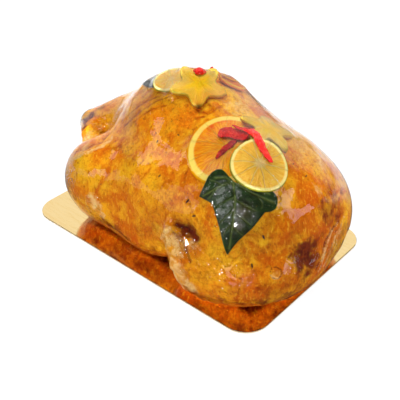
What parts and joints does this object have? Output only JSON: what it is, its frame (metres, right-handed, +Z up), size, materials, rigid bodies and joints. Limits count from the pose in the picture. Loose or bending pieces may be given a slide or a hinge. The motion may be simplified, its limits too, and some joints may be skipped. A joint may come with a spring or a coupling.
{
  "type": "roast goose on a board",
  "caption": "Whole roast goose on a gold board, garnished with orange, lemon and star fruit slices, red pepper strips and an ivy leaf.",
  "frame": {"origin": "centre of the bounding box's bottom, on the surface that the board lies on", "axes": "+X along the board towards the goose's neck end, +Y across it, +Z up"},
  "size_m": [0.3238, 0.197, 0.1747],
  "materials": {
    "gold_board": "mirror-bright gold foil on board",
    "roast_skin": "glazed roast skin under clear film",
    "orange": "wet cut orange",
    "lemon": "wet cut lemon",
    "star_fruit": "wet cut star fruit",
    "red_pepper": "wet pepper skin",
    "leaf": "glossy leaf",
    "dark_leaf": "dark leaf"
  },
  "bodies": {
    "root": {"board": "gold_board", "goose": "roast_skin", "orange_slice": "orange", "star_fruit_slice": "star_fruit", "ivy_leaf": "leaf", "lemon_slice": "lemon", "pepper_dark_strip": "red_pepper", "pepper_broad_piece": "red_pepper", "pepper_arched_strip": "red_pepper", "top_dark_leaf": "dark_leaf", "top_lemon_slice": "lemon", "top_star_fruit_slice": "star_fruit", "top_orange_slice": "orange", "top_orange_slice_upper": "orange", "top_pepper_bit": "red_pepper", "top_pepper_tip": "red_pepper"}
  },
  "joints": []
}
